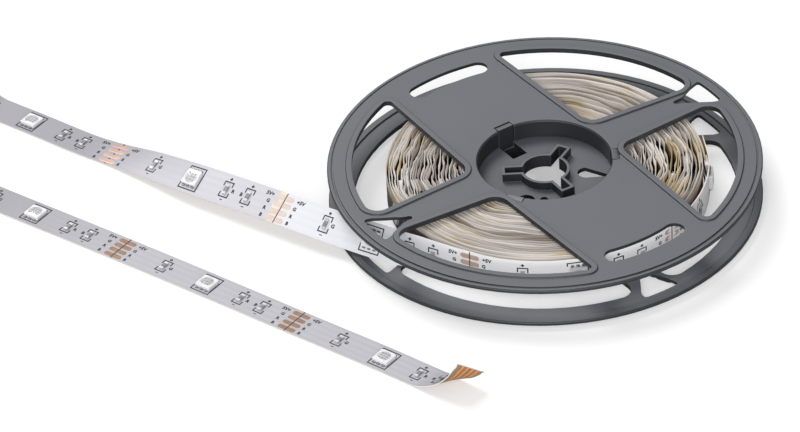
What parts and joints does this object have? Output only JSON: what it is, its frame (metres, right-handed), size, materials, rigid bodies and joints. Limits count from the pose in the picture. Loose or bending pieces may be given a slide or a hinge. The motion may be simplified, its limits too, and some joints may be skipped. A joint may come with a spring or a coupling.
{
  "type": "led strip light reel",
  "caption": "Slim two-part plastic reel wound with flexible LED strip, its outer length running out over the rim and back beside the reel to a cut, curled-up end.",
  "frame": {"origin": "on the reel's axis, at the height of the surface that the reel lies on", "axes": "+Z along the reel's axis, up through the upper flange; the free strip leaves the reel towards -X and -Y"},
  "size_m": [0.278, 0.1739, 0.0138],
  "materials": {
    "reel_plastic": "moulded slate grey, satin",
    "wound_edge": "packed cream board edges with thin brown gaps",
    "strip_board": "white printed flexible board, orange-brown underside",
    "led_white": "white moulded body with a clear round lens",
    "chip_resistor": "dark body between pale soldered ends"
  },
  "bodies": {
    "root": {"upper_flange_half": "reel_plastic", "lower_flange_half": "reel_plastic", "wound_strip_roll": "wound_edge", "strip_tail": "strip_board", "strip_end": "strip_board", "end_led_1": "led_white", "end_led_2": "led_white", "end_led_3": "led_white", "end_led_4": "led_white", "end_resistor_1": "chip_resistor", "end_resistor_10": "chip_resistor", "end_resistor_11": "chip_resistor", "end_resistor_12": "chip_resistor", "end_resistor_2": "chip_resistor", "end_resistor_3": "chip_resistor", "end_resistor_4": "chip_resistor", "end_resistor_5": "chip_resistor", "end_resistor_6": "chip_resistor", "end_resistor_7": "chip_resistor", "end_resistor_8": "chip_resistor", "end_resistor_9": "chip_resistor", "tail_led_1": "led_white", "tail_led_2": "led_white", "tail_led_3": "led_white", "tail_led_4": "led_white", "tail_led_5": "led_white", "tail_led_6": "led_white", "tail_resistor_1": "chip_resistor", "tail_resistor_10": "chip_resistor", "tail_resistor_11": "chip_resistor", "tail_resistor_12": "chip_resistor", "tail_resistor_13": "chip_resistor", "tail_resistor_14": "chip_resistor", "tail_resistor_15": "chip_resistor", "tail_resistor_2": "chip_resistor", "tail_resistor_3": "chip_resistor", "tail_resistor_4": "chip_resistor", "tail_resistor_5": "chip_resistor", "tail_resistor_6": "chip_resistor", "tail_resistor_7": "chip_resistor", "tail_resistor_8": "chip_resistor", "tail_resistor_9": "chip_resistor"}
  },
  "joints": []
}
